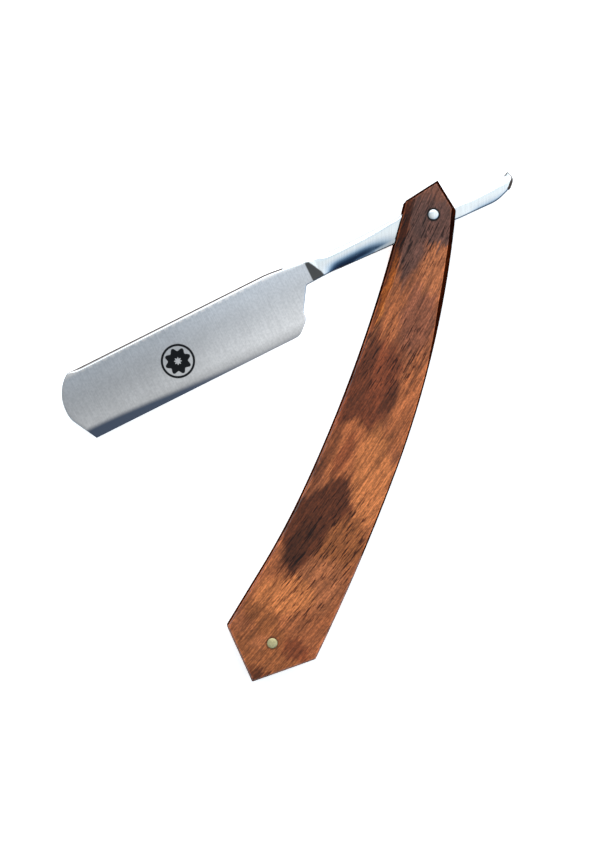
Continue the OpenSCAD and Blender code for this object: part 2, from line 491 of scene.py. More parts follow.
def grid_inside(loops, step, fine=None):
    """Points of a triangular grid inside the loops, clear of them by half a step.

    fine is (low x, high x, step): a stretch that gets a closer grid.
    """
    row_share = 0.87         # height of a triangle with equal sides of 1

    def grid(low, high, pitch):
        rows = np.arange(low[1], high[1], pitch * row_share)
        columns = np.arange(low[0], high[0], pitch)
        xy = np.array([(c + (k % 2) * pitch / 2, r) for k, r in enumerate(rows) for c in columns])
        return xy.reshape(-1, 2)

    low, high = loops[0].min(0), loops[0].max(0)
    points = grid(low, high, step)
    spacing = np.full(len(points), step)
    if fine:
        points = points[(points[:, 0] < fine[0]) | (points[:, 0] > fine[1])]
        close = grid((fine[0], low[1]), (fine[1], high[1]), fine[2])
        spacing = np.concatenate([np.full(len(points), step), np.full(len(close), fine[2])])
        points = np.concatenate([points, close])
    ok = inside(loops, points)
    points = points[ok]
    spacing = spacing[ok]
    rim = np.concatenate(loops)
    clear = np.ones(len(points), bool)
    for p in rim:
        clear &= ((points - p) ** 2).sum(1) > (0.5 * spacing) ** 2
    return points[clear]


def carry(piece, body, slot, *nodes):
    """Puts a finished piece on its body, in place of its CAD nodes. slot is not used."""
    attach(piece, body)
    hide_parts(*nodes)
    return piece


# ---------------------------------------------------------------- node helper

# Settings that many nodes share: a soft change of a range, a mix of colours, a place of its own
SOFT = {"interpolation_type": "SMOOTHSTEP"}
COLOURS = {"data_type": "RGBA", "out": 2}
LOCAL = {"vector_type": "TEXTURE"}

# Length of a feature, in millimetres, that doesn't change across a piece
ENDLESS = 1000


def add_node(tree, kind, *inputs, out=0, **settings):
    """Adds a node, sets its settings, sets or links its inputs, and returns an output socket.

    inputs are in the order of the node's sockets, or one dictionary of them by socket.
    """
    node = tree.nodes.new("ShaderNode" + kind)
    for key, value in settings.items():
        setattr(node, key, value)
    by_socket = inputs[0] if inputs and isinstance(inputs[0], dict) else dict(enumerate(inputs))
    for key, value in by_socket.items():
        socket = node.inputs[key]
        if isinstance(value, bpy.types.NodeSocket):
            tree.links.new(value, socket)
        elif socket.type == "RGBA":
            socket.default_value = (*value, 1)
        else:
            socket.default_value = value
    return node.outputs[out] if node.outputs else None


def start_nodes(owner):
    """Empties the nodes of a material or world, and returns the function that adds new ones."""
    owner.use_nodes = True
    owner.node_tree.nodes.clear()
    return partial(add_node, owner.node_tree)


def new_material(name):
    """An empty material, and the function that adds its nodes."""
    material = bpy.data.materials.new(name)
    return material, start_nodes(material)


def place_on(add, shift=(0, 0, 0), turned=0.0, flip=1):
    """Place on a piece in millimetres, from a shifted and turned origin. A flip of -1 mirrors y."""
    where = add("TexCoord", out="Object")
    scale = (MM, flip * MM, MM)
    return add("Mapping", where, Vector(shift) * MM, (0, 0, turned), scale, **LOCAL)


def pattern(add, place, size, detail=2.0, roughness=0.5, seed=0.0, angle=0):
    """Noise whose features have a size (x, y, z) in millimetres, turned by angle in degrees."""
    steps = add("Mapping", place, (0, 0, 0), (0, 0, radians(angle)), size, **LOCAL)
    return add("TexNoise", steps, seed, 1.0, detail, roughness, noise_dimensions="4D")


# ---------------------------------------------------------------- wood

# Figure of the rosewood as laid-over patches: shape, middle x and y, half width, half
# length and turn (millimetres and degrees, in the handle's frame), how soft its rim is,
# its colour, and how fully it covers what is below.
FIGURE = [
    ("oval", 4, -120, 15, 28, 0, 0.5, "wood_orange", 0.6),
    ("oval", 0, -57, 8.5, 17, 0, 0.5, "wood_red", 0.9),
    ("oval", 13, -56, 4.6, 15, 3, 0.5, "wood_orange", 0.95),
    ("oval", -0.8, -31, 3.0, 10, 3, 0.6, "wood_orange", 0.8),
    ("oval", 6.5, -31, 5.0, 12, 8, 0.6, "wood_plum", 0.85),
    ("oval", 5.5, -15, 4.6, 8, 10, 0.5, "wood_sand", 0.85),
    ("oval", 1, -2, 10, 6.6, 0, 0.3, "wood_smoke", 0.95),
    ("oval", -1.6, 5, 5.5, 6.5, 0, 0.6, "wood_smoke", 0.75),
    ("lozenge", -2.6, -11, 4.6, 14, 6, 0.35, "wood_smoke", 0.92),
    ("oval", -7.2, -14, 2.0, 17, 5, 0.5, "wood_dark", 0.9),
    # Painted light: orange figure brightened where the concave bevel faces the light
    ("oval", -4.9, -27, 1.0, 11, 4, 0.7, "wood_flame", 0.9),
    ("oval", -3.0, -53, 2.6, 13, 0, 0.6, "wood_dark", 0.75),
    ("oval", 7.2, -57, 2.1, 5.0, -8, 0.7, "wood_dark", 0.8),
    ("oval", 5, -43, 1.2, 1.8, -40, 0.8, "wood_dark", 0.6),
    ("oval", 12, -45, 1.1, 1.6, -40, 0.8, "wood_dark", 0.6),
    ("oval", 1.5, -63.5, 7, 5, 0, 0.6, "wood_dark", 0.5),
    ("oval", 3, -67.6, 8, 1.7, -4, 0.8, "wood_dark", 0.85),
    ("oval", 1.0, -77, 6.5, 10.5, 0, 0.3, "wood_orange", 0.85),
    ("oval", 0.5, -77, 1.9, 7, -6, 0.7, "wood_red", 0.7),
    ("oval", -4.6, -80, 1.6, 12, -6, 0.7, "wood_dark", 0.6),
    ("oval", 10.5, -81, 5.6, 15, 14, 0.4, "wood_light", 0.85),
    ("lozenge", 1.4, -102.5, 14.0, 20.5, -4, 0.10, "wood_dark", 0.97),
    ("oval", 9.0, -104, 6.0, 11, -14, 0.5, "wood_olive", 0.9),
    ("oval", -3.0, -107, 3.2, 8, -10, 0.8, "wood_char", 0.7),
    ("oval", 6.5, -117, 7.5, 9, -20, 0.5, "wood_sand", 0.9),
    ("oval", -1.4, -123.4, 9.0, 5.8, 24, 0.4, "wood_light", 0.95),
    ("oval", -6.0, -131.5, 8.5, 3.0, -24, 0.5, "wood_olive", 0.85),
    ("oval", 0.5, -142, 13, 7.5, 0, 0.5, "wood_olive", 0.7),
    ("oval", 7.4, -137.5, 4.2, 3.4, 0, 0.7, "wood_red", 0.8),
    ("oval", -3, -138.4, 3.4, 2.2, 20, 0.7, "wood_sand", 0.7),
    ("oval", -0.8, -149, 3.8, 2.6, 0, 0.6, "wood_dark", 0.85),
]

# Where the grain lies open: pores are deepest and darkest here (same measures)
OPEN_PORES = [(5, -108, 12, 24, -8, 0.5), (4, -44, 11, 13, 0, 0.5), (-1, -8, 9, 12, 0, 0.5)]

# How dark the pores are everywhere else
CLOSED_PORES = 0.3

# Slope of the grain against the handle: its value at the pivot, and its change per millimetre
GRAIN_SLOPE = 0.07
GRAIN_BEND = -0.0021

# Painted shade in the crevice round the pins: where it thins out beyond the pin's rim, from and to
PIN_SHADE = (0.25, 0.70)

# Painted highlight along the rounded crests of the scales: how many times lighter than the wood
# beside them, and in what tint
CREST_HIGHLIGHT = [1.45 * c for c in to_linear("#fffbfb")]


def patch_share(add, place, shape, x, y, wide, tall, angle, soft, cover=1.0):
    """Share socket of one soft patch: cover in its middle, falling to 0 at its rim."""
    local = add("Mapping", place, (x, y, 0), (0, 0, radians(angle)), (wide, tall, ENDLESS), **LOCAL)
    other = local
    if shape == "lozenge":
        local = add("VectorMath", local, operation="ABSOLUTE")
        other = (1, 1, 1)
    reach = add("VectorMath", local, other, operation="DOT_PRODUCT", out="Value")
    return add("MapRange", reach, 1 + soft, 1 - soft, 0, cover, **SOFT)


def straightened(add, place):
    """Place with the bend of the grain taken out, so that fibres run along y."""
    x, y, z = add("SeparateXYZ", place).node.outputs
    slope = add("Math", y, GRAIN_BEND / 2, GRAIN_SLOPE, operation="MULTIPLY_ADD")
    lean = add("Math", slope, y, operation="MULTIPLY")
    return add("CombineXYZ", add("Math", x, lean, operation="SUBTRACT"), y, z)


def feathered(add, place, straight, seed):
    """Place drawn out along the grain, so that the rims of patches run into fibres."""
    feather = pattern(add, straight, (0.9, 9.0, 9.0), 5.0, 0.65, seed)
    feather_run = (2.6, 13.0, 0)
    drift_size = 6.5
    drift_run = (4.0, 5.0, 0)
    centred = add("Math", feather, 0.5, operation="SUBTRACT")
    thrown = add("VectorMath", {0: feather_run, "Scale": centred}, operation="SCALE")
    drift = add("TexNoise", place, seed + 1, 1 / drift_size, 4.0, noise_dimensions="4D", out="Color")
    shifted = add("VectorMath", drift, (0.5, 0.5, 0.5), operation="SUBTRACT")
    moved = add("VectorMath", shifted, drift_run, place, operation="MULTIPLY_ADD")
    return add("VectorMath", moved, thrown, operation="ADD")


def rosewood(name, finish, seed, flip=1, tint=None, sheen=0.22):
    """Indian rosewood, sawn, sanded and oiled to a semi-gloss.

    The eye sees smoky and orange figure in soft patches, short dark pores that slant
    across the slab, finer fibre lines along them, and a low sheen that the pores break.
    tint multiplies the wood with painted shade on bevels, side walls, inner faces and the
    wedge, and with a painted highlight on the crests. sheen is the specular level, 0 on the
    wood painted dark as shade.
    """
    material, add = new_material(name)
    pore = (0.42, 4.2)       # real pores are about 0.2 mm wide, drawn coarser so that they show
    fibre = (0.42, 9.0)      # real fibres are finer, drawn as coarse as they need to show
    band = (1.6, 22.0)       # growth rings
    grit = (0.42, 0.84)      # grain of the sanded surface, drawn coarse enough to show
    place = place_on(add, (0, WEDGE_PIN.y if flip < 0 else 0, 0), flip=flip)
    straight = straightened(add, place)
    warped = feathered(add, place, straight, seed)
    tone = finish.wood_mid
    for *patch, colour_name, cover in FIGURE:
        share = patch_share(add, warped, *patch, cover)
        tone = add("Mix", {0: share, 6: tone, 7: getattr(finish, colour_name)}, **COLOURS)
    open_share = CLOSED_PORES
    for patch in OPEN_PORES:
        share = patch_share(add, place, "oval", *patch)
        open_share = add("Math", open_share, share, operation="MAXIMUM")

    def grain(size, detail, salt):
        across, along = size
        return pattern(add, straight, (across, along, along), detail, seed=seed + salt)

    fibres = grain(fibre, 3.0, 7)
    pores = add("MapRange", grain(pore, 1.0, 11), 0.57, 0.64, **SOFT)
    pore_share = add("Math", pores, open_share, operation="MULTIPLY")
    shade = 1.0
    for layer, start, stop, dark, light in (
        (fibres, 0.28, 0.72, 0.62, 1.38),
        (grain(band, 2.0, 8), 0.3, 0.7, 0.76, 1.24),
        (grain(grit, 2.0, 9), 0.3, 0.7, 0.70, 1.30),
    ):
        factor = add("MapRange", layer, start, stop, dark, light, **SOFT)
        shade = add("Math", shade, factor, operation="MULTIPLY")
    wood = add("VectorMath", {0: tone, "Scale": shade}, operation="SCALE")

    stains_and_painted_light = [(pore_share, to_linear("#7c6c65"))]
    # Painted shade: a dark ring round each pin, full at the pivot pin and weaker at the wedge pin
    for pin, cover in ((PIVOT_PIN, 1.0), (WEDGE_PIN, 0.4)):
        reach = add("VectorMath", place, (pin.x, pin.y, 0), operation="SUBTRACT")
        flat = add("VectorMath", reach, (1, 1, 0), operation="MULTIPLY")
        radius = add("VectorMath", flat, operation="LENGTH", out="Value")
        start, stop = (PIN_R + gap for gap in PIN_SHADE)
        ring = add("MapRange", radius, start, stop, cover, 0, **SOFT)
        stains_and_painted_light.append((ring, to_linear("#3f3f3f")))
    if tint:
        stains_and_painted_light.append((1.0, tint))
    for share, multiplied_colour in stains_and_painted_light:
        wood = add("Mix", {0: share, 6: wood, 7: multiplied_colour}, blend_type="MULTIPLY", **COLOURS)

    height = add("Math", fibres, pore_share, operation="SUBTRACT")
    add("OutputMaterial", add("BsdfPrincipled", {
        "Base Color": wood, "IOR": 1.47, "Specular IOR Level": sheen,
        "Roughness": add("MapRange", pores, 0, 1, 0.36, 0.6, **SOFT),
        "Normal": add("Bump", {"Height": height, "Strength": 0.35, "Distance": 0.06 * MM}),
        "Coat Weight": sheen / 4, "Coat Roughness": 0.25, "Coat IOR": 1.47,
    }))
    return material


# ---------------------------------------------------------------- scales

# How much of the full bevel each side has by the pivot, counter-clockwise from the upper
# point: it was filed by hand, nearly missing on one facet and widest on the concave side
BEVEL_SHARES = [0.28, 1.35, 1.0, 1.0, 0.72, 0.45]


def bevel_width(size, p, side):
    """Width of the filed bevel at a point: wide by the pivot, narrow by the wedge."""
    pivot_share = smooth(p.y, -52, -16)
    waver = 1 + 0.05 * sin(p.y / 5.3) + 0.03 * sin(p.y / 2.1 + 1)
    wide = size.bevel_pivot * BEVEL_SHARES[side]
    return (size.bevel_butt + (wide - size.bevel_butt) * pivot_share) * waver


# Section of a scale from its inner face to its outer face: fixed inset and height above the
# inner face in millimetres, share of the bevel's width, and whether it counts from the top
PROFILE = [
    (0.16, 0.00, 0.00, False),
    (0.05, 0.05, 0.00, False),
    (0.00, 0.16, 0.00, False),
    (0.00, 0.90, 0.00, False),
    (0.00, -0.34, 0.00, True),
    (0.03, -0.18, 0.00, True),
    (0.12, -0.06, 0.02, True),
    (0.22, 0.03, 0.07, True),
    (0.20, 0.13, 0.13, True),
    (0.10, 0.50, 0.50, True),
    (0.04, 0.88, 0.88, True),
    (0.06, 0.955, 0.955, True),
    (0.10, 0.99, 1.00, True),
    (0.32, 1.00, 1.00, True),
]

# Finishes of a scale, and the one of each band between two rings of its section: the
# face, the filed bevel in lighter painted shade, the side walls and shaded bevels in dark
# painted shade, and the crests with a painted highlight
FACE, BEVEL, IN_SHADE, CREST = range(4)
BAND_FINISH = [IN_SHADE] * 6 + [CREST] * 2 + [BEVEL] * 3 + [CREST] * 2
BEVEL_BANDS = range(6, 11)


def band_finish(k, points):
    """Finish of band k at each point: painted shade on the bevel of the convex side and round the
    upper point, but not on the lit concave side.
    """
    shaded_y = -104
    concave_x = 1
    shoulder_y = 1.5

    def shaded(p):
        return p.y > shaded_y and (p.x > concave_x or p.y > shoulder_y)

    return [IN_SHADE if k in BEVEL_BANDS and shaded(p) else BAND_FINISH[k] for p in points]


def make_scale(size, finish, name, levels, outwards, seed):
    """One wooden scale. levels are the heights of its inner and outer face."""
    inner, outer = levels
    shell = Shell()
    rings = []
    for fixed, height, share, from_top in PROFILE:
        ring = handle_ring(size, lambda p, side: fixed + share * bevel_width(size, p, side))
        base = size.scale_t - size.bevel_depth if from_top else 0
        reach = base + height * (size.bevel_depth if from_top else 1)
        ring = ring[::outwards]
        rings.append(shell.add_loop(ring, inner + outwards * reach))
    for k in range(len(rings) - 1):
        shell.skin(rings[k], rings[k + 1], band_finish(k, ring))

    hole = [(0.12, 0.0), (0.02, 0.10), (0.02, size.scale_t - 0.16), (0.16, size.scale_t)]
    hole = [(PIN_R + gap, inner + outwards * reach) for gap, reach in hole]
    bottoms, tops = zip(*(shell.bore(pin, hole, order=outwards) for pin in (PIVOT_PIN, WEDGE_PIN)))
    shell.cap(rings[-1], tops, outer, 2.4, up=outwards > 0, finish=FACE)
    # Painted shade: the inner face between the scales gets the dark side-wall finish
    shell.cap(rings[0], bottoms, inner, 3.2, up=outwards < 0, finish=IN_SHADE)
    materials = [
        rosewood(f"oiled_rosewood_{name}", finish, seed, outwards),
        # Painted shade: the filed bevel is painted darker than the face
        rosewood(f"filed_rosewood_{name}", finish, seed, outwards, finish.bevel_shade),
        # Painted shade: side walls, inner faces and shaded bevels are painted dark and without sheen
        rosewood(f"oil_soaked_rosewood_{name}", finish, seed, outwards, finish.edge_shade, 0.0),
        # Painted highlight: the crests are painted lighter than the wood beside them
        rosewood(f"worn_rosewood_{name}", finish, seed, outwards, CREST_HIGHLIGHT),
    ]
    piece = shell.build(f"{name}_wood", materials, sharp=25)
    return carry(piece, HANDLE, "scale_wood", name)


# ---------------------------------------------------------------- blade

def blade_outline(size):
    """Outline of the whole blade: along it towards the toe, and across it towards the edge."""
    heel = size.heel
    reach = size.reach
    spine = -size.spine_w
    edge = size.edge_w
    tail = size.tail_reach
    return rounded([
        (heel - 5, -5.6, 20), (heel + 5, spine, 30), (reach - 5.4, spine, 0.4),
        (reach, -2.75, 12), (reach, 5.8, 7), (reach - 4.7, edge, 0.3),
        (heel + 4.1, edge, 4), (heel, edge - 3.65, 3), (heel - 0.1, edge - 5.95, 3),
        (heel - 4.5, 1.75, 0.8), (36, 1.6, 20), (14, 2.55, 30), (-7, 4.5, 20),
        (7.5 - tail, 5, 12), (1.9 - tail, 3.2, 2), (-tail - 0.2, 1.1, 2),
        (0.5 - tail, -1.75, 0.3), (3.7 - tail, -0.2, 12), (-17, 0.75, 20),
        (-5.8, 0.4, 5), (1.5, -4.4, 4), (12, -4.5, 30), (30, -4.45, 40),
    ], 0.5)


# Finishes of the blade
SATIN, POLISHED, DARK_RIM = range(3)


class BladeForm:
    """Half thickness and finish of the blade at any point of its outline."""

    ramp_slope = 0.19        # steepness of the run-out between ground face and shank
    rise_slope = 0.12        # how the spine thickens from the shank
    shank_crown = 1.15       # how much thinner the shank's rims are than its middle line
    tail_crown = 0.30        # the same on the tail
    blend = 0.04             # how soft the crease at the foot of the run-out is

    def __init__(self, size):
        self.size = size
        self.ground_start = size.heel - 6.9
        self.face_w = -size.spine_w + size.spine_round

    def ground(self, w):
        """Hollow-ground face: a wedge from spine to edge, sunk by the hollow."""
        size = self.size
        share = min(1.0, max(0.0, (w - self.face_w) / (size.edge_w - self.face_w)))
        chord = SPINE_T / 2 + (size.edge_t - SPINE_T) / 2 * share
        return chord - 4 * size.hollow * share * (1 - share)

    def shank(self, s, w):
        """Shank and tail: crowned across, flat at the tang where the washers bear."""
        if s > 0:
            crown = self.shank_crown * smooth(s, 9, 25) * (1 - 0.95 * smooth(s, 32, 39))
            middle_w, half_w = -2.1, 3.7
        else:
            crown = self.tail_crown * smooth(-s, 8, 14)
            middle_w, half_w = 2.3, 2.6
        share = (w - middle_w) / half_w
        return self.size.tang_t / 2 - crown * min(1.0, share * share)

    def parts(self, s, w):
        """Half thickness that the ground face and the shank would each have here."""
        ramp = self.ground(w) + self.ramp_slope * max(0.0, self.ground_start - s)
        shank = self.shank(s, w) + self.rise_slope * max(0.0, s - self.ground_start + 3)
        return ramp, shank

    def half(self, s, w):
        """Half thickness: the lower of ground face and shank, with a small blend."""
        ramp, shank = self.parts(s, w)
        return (ramp + shank - hypot(ramp - shank, self.blend)) / 2

    def finish(self, s, w):
        """Satin where the face is ground, polished elsewhere."""
        ramp, shank = self.parts(s, w)
        return SATIN if ramp < shank or s > self.ground_start + 4 else POLISHED

    def rim(self, s, w):
        """Radius that rounds the rim at a point of the outline."""
        toe = self.size.reach - 7
        if w < -3.5 and 8 < s < toe:
            radius = self.size.spine_round
        elif s > toe or (s > self.ground_start and w > 1.5):
            radius = 0.3
        elif s < 3.6 - self.size.tail_reach:
            radius = 1.0 if w > 0.2 else 0.25
        else:
            radius = 0.55 if s < 0 else 0.4
        thickest = 0.62          # share of the half thickness that a rim may round off
        return min(radius, thickest * self.half(s, w))


def make_blade(size, finish):
    """The blade: one closed shell with ground faces, polished rims and a bored tang."""
    form = BladeForm(size)
    outline = blade_outline(size)
    moves = inward(outline)
    radii = np.array([form.rim(p.x, p.y) for p in outline])
    limit = radii.copy()
    for _ in range(12):      # so that the radius changes gently along the rim
        radii = (np.roll(radii, 1) + radii + np.roll(radii, -1)) / 3
        radii = np.minimum(radii, limit * 1.05)
    shell = Shell()
    angles = [radians(a) for a in (0, 18, 36, 54, 72, 90)]

    def ring(angle, side):
        points = [p + m * r * (1 - cos(angle)) for p, m, r in zip(outline, moves, radii)]
        heights = [
            side * (form.half(p.x, p.y) - r * (1 - sin(angle))) for p, r in zip(points, radii)
        ]
        return shell.add_loop(points, heights)

    tops = [ring(a, 1) for a in angles]
    bottoms = [ring(a, -1) for a in angles]

    def rim_finish(count):
        """The narrow back of the spine and the tail's end are coloured dark brown-black."""
        def darkened(p):
            spine = p.y < -6.0 and size.heel < p.x < size.reach - 5.5
            end = p.x < 2.4 - size.tail_reach
            return DARK_RIM if (spine and count < 3) or (end and count < 5) else POLISHED
        return [darkened(p) for p in outline]

    shell.skin(bottoms[0], tops[0], rim_finish(0))
    for count, (low, high) in enumerate(zip(tops, tops[1:])):
        shell.skin(low, high, rim_finish(count))
    for count, (low, high) in enumerate(zip(bottoms, bottoms[1:])):
        shell.skin(high, low, rim_finish(count))

    half = size.tang_t / 2
    hole = [(0.17, -half), (0.05, -half + 0.12), (0.05, half - 0.12), (0.17, half)]
    hole = [(PIN_R + gap, z) for gap, z in hole]
    under, over = shell.bore(Vector((0, 0)), hole, POLISHED)
    step = 0.62
    look = {"finish": form.finish, "fine": (size.heel - 12.5, size.heel - 4.5, 0.28)}
    shell.cap(tops[-1], [over], form.half, step, **look)
    shell.cap(bottoms[-1], [under], lambda s, w: -form.half(s, w), step, up=False, **look)

    materials = [
        satin_steel(size, finish), polished_steel("polished_steel_blade", finish),
        dark_rim_steel(finish),
    ]
    piece = shell.build("blade_steel", materials, sharp=34)
    rotation = Matrix.Rotation(blade_turn(size), 4, "Z")
    piece.data.transform(Matrix.Translation((0, 0, BLADE_Z * MM)) @ rotation)
    return carry(piece, BLADE, "blade_steel", "blade")


def blade_turn(size):
    """Turn that takes the blade from its own lines to its place at rest."""
    return -pi / 2 - size.open_angle


def etched_roundel(add, place, size):
    """Share of etching: a ring, and a rosette of eight petals round a small star."""
    local = add("VectorMath", place, (size.mark_s, size.mark_w, 0), operation="SUBTRACT")
    x, y, z = add("SeparateXYZ", local).node.outputs
    radius = add("VectorMath", add("CombineXYZ", x, y), operation="LENGTH", out="Value")
    angle = add("Math", y, x, operation="ARCTAN2")
    petals = 8.0
    wave = add("Math", add("Math", angle, petals, operation="MULTIPLY"), operation="COSINE")
    ring_width = 0.7
    blur = 0.12

    def rim(mean, swing, within, beyond):
        """within inside a wavy rim, and beyond outside it."""
        edge = add("Math", wave, swing, mean, operation="MULTIPLY_ADD")
        gap = add("Math", edge, radius, operation="SUBTRACT")
        return add("MapRange", gap, -blur, blur, beyond, within, **SOFT)

    disc = rim(size.mark_r, 0.0, 1, 0)
    ring = add("Math", disc, rim(size.mark_r - ring_width, 0.0, 0, 1), operation="MULTIPLY")
    rosette = add("Math", rim(3.55, 0.5, 1, 0), rim(0.95, -0.22, 0, 1), operation="MULTIPLY")
    drawn = add("Math", ring, rosette, operation="MAXIMUM")
    front_face = add("MapRange", z, 0.0, 0.05, **SOFT)
    return add("Math", drawn, front_face, operation="MULTIPLY")


def satin_steel(size, finish):
    """Stainless steel, hollow ground on a wheel and left with a satin grind.

    The eye sees a broad soft sheen, fine lines across the blade from the wheel, a darker
    honed band along the edge that widens towards the toe, and the black etched roundel.
    The honed band is partly real and partly painted reflection of dark surroundings; the
    tones painted along and across the face and the dark run-out are painted reflection.
    """
    material, add = new_material("satin_ground_steel")
    line_pitch = 0.35        # real grinding lines are about 0.05 mm apart, drawn coarser
    line_length = 14.0
    place = place_on(add, (0, 0, BLADE_Z), blade_turn(size))
    along, across, _ = add("SeparateXYZ", place).node.outputs
    lines = pattern(add, place, (line_pitch, line_length, ENDLESS), 3.0, 0.6)
    cloud = pattern(add, place, (9.0, 9.0, 9.0), seed=2.0)
    speckle = pattern(add, place, (0.7, 0.7, 0.7), seed=5.0)
    shade = 1.0
    for socket, start, stop, low, high in (
        (lines, 0.3, 0.7, 0.93, 1.05), (cloud, 0.3, 0.7, 0.97, 1.03),
        (speckle, 0.3, 0.7, 0.93, 1.07),
        # Painted reflection: the ground face is painted paler by the heel, by the spine and in the
        # hollow, and darker by the edge, in place of how it reflects the light tent
        (along, 54, 102, 1.26, 0.93),        # paler by the heel
        (across, -5, 2, 1.18, 0.98),         # and by the spine
        (across, 2, 9.5, 1, 1.07),           # paler in the hollow
        (across, 10.2, 13.8, 1, 0.70),       # darker by the edge
    ):
        factor = add("MapRange", socket, start, stop, low, high, **SOFT)
        shade = add("Math", shade, factor, operation="MULTIPLY")
    steel = add("VectorMath", {0: finish.satin, "Scale": shade}, operation="SCALE")

    # Painted reflection: a dark slate band along the edge that widens towards the toe, partly the
    # real honed band and partly the dark surroundings that the hollow reflects there
    honed_start, honed_full = 58, 92
    honed_width = 0.7
    honed_widening = 2.7
    honed_blur = 0.9
    toe_share = add("MapRange", along, honed_start, size.reach - 4, **SOFT)
    growth = add("Math", toe_share, 1.6, operation="POWER")
    width = add("Math", growth, honed_widening, honed_width, operation="MULTIPLY_ADD")
    upper = add("Math", size.edge_w, width, operation="SUBTRACT")
    depth = add("Math", across, upper, operation="SUBTRACT")
    honed_reflection = add("MapRange", depth, -honed_blur, honed_blur, **SOFT)
    strength = add("MapRange", along, honed_start, honed_full, 0.45, 1.0, **SOFT)
    honed_reflection_share = add("Math", honed_reflection, strength, operation="MULTIPLY")
    # Painted reflection: the run-out slope is painted dark grey for the darker surroundings it
    # reflects
    runout_reflection_share = add("MapRange", along, size.heel - 6.75, size.heel - 7.05, **SOFT)
    etched = etched_roundel(add, place, size)
    for share, laid_over in (
        (honed_reflection_share, finish.honed_reflection), (runout_reflection_share, finish.runout_reflection), (etched, finish.etch),
    ):
        steel = add("Mix", {0: share, 6: steel, 7: laid_over}, **COLOURS)
    add("OutputMaterial", add("BsdfPrincipled", {
        "Base Color": steel,
        "Metallic": add("Math", 1.0, etched, operation="SUBTRACT"),
        "Roughness": add("Math", lines, 0.10, 0.27, operation="MULTIPLY_ADD"),
        "Normal": add("Bump", {"Height": lines, "Strength": 0.12, "Distance": 0.05 * MM}),
        "Specular IOR Level": add("MapRange", etched, 0, 1, 0.5, 0.06, **SOFT),
    }))
    return material


def polished_steel(name, finish):
    """Stainless steel, forged, filed and buffed on a mop.

    The eye sees near-mirror reflections with soft rims, and faint hairlines from the mop.
    """
    material, add = new_material(name)
    hairline_pitch = 0.3     # real hairlines are finer, drawn as coarse as they need to show
    place = place_on(add)
    hair = pattern(add, place, (hairline_pitch, 7.0, 7.0), angle=20)
    smear = pattern(add, place, (4.0, 4.0, 4.0))
    shade = add("MapRange", hair, 0.3, 0.7, 0.94, 1.04, **SOFT)
    add("OutputMaterial", add("BsdfPrincipled", {
        "Base Color": add("VectorMath", {0: finish.steel, "Scale": shade}, operation="SCALE"),
        "Metallic": 1.0,
        "Roughness": add("MapRange", smear, 0.3, 0.7, 0.07, 0.15, **SOFT),
        "Normal": add("Bump", {"Height": hair, "Strength": 0.05, "Distance": 0.03 * MM}),
    }))
    return material


def dark_rim_steel(finish):
    """Stainless steel coloured dark brown-black, with paler patches.

    The eye sees a thin brown-black line along the back of the spine and on the tail's end.
    """
    material, add = new_material("forged_steel_skin")
    patches = pattern(add, place_on(add), (0.8, 0.8, 0.8), 3.0)
    pale_share = add("MapRange", patches, 0.3, 0.7, 0, 0.35, **SOFT)
    add("OutputMaterial", add("BsdfPrincipled", {
        "Base Color": add("Mix", {0: pale_share, 6: finish.skin, 7: finish.skin_worn}, **COLOURS),
        "Metallic": 0.6,
        "Roughness": add("MapRange", patches, 0.3, 0.7, 0.5, 0.62, **SOFT),
    }))
    return material


def peened_brass(name, finish):
    """Brass rod, cut, peened over and sanded flush; it has dulled to a pale olive.

    The eye sees a matt pale disc with small hammer marks and fine cross scratches.
    """
    material, add = new_material(name)
    dent = 0.5
    scratch = (0.12, 2.0, 2.0)
    place = place_on(add)
    marks = pattern(add, place, (dent, dent, dent), 1.0)
    lines = pattern(add, place, scratch, 1.0, angle=35)
    dents = add("MapRange", marks, 0.3, 0.7, 0.86, 1.08, **SOFT)
    scratches = add("MapRange", lines, 0.3, 0.7, 0.92, 1.05, **SOFT)
    shade = add("Math", dents, scratches, operation="MULTIPLY")
    add("OutputMaterial", add("BsdfPrincipled", {
        "Base Color": add("VectorMath", {0: finish.brass, "Scale": shade}, operation="SCALE"),
        "Metallic": 0.85,
        "Roughness": add("MapRange", lines, 0.3, 0.7, 0.34, 0.48, **SOFT),
        "Normal": add("Bump", {"Height": marks, "Strength": 0.25, "Distance": 0.06 * MM}),
    }))
    return material


# ---------------------------------------------------------------- pins, washers, wedge

def lathe(profile, centre, steps=64):
    """A closed shell turned about a vertical axis from (radius, height) points.

    A radius of 0 is the axis itself, and a profile that ends where it starts is a ring.
    """
    shell = Shell()
    loops = []
    closed = profile[0] == profile[-1]
    for radius, z in profile[:-1] if closed else profile:
        if radius == 0:
            loops.append(shell.add_loop([Vector(centre[:2])], z) * steps)
        else:
            loops.append(shell.add_loop(circle(centre, radius, steps), z))
    pairs = zip(loops, loops[1:] + loops[:1]) if closed else zip(loops, loops[1:])
    for low, high in pairs:
        for i in range(steps):
            corners = dict.fromkeys((low[i - 1], low[i], high[i], high[i - 1]))
            shell.face(tuple(corners))
    return shell


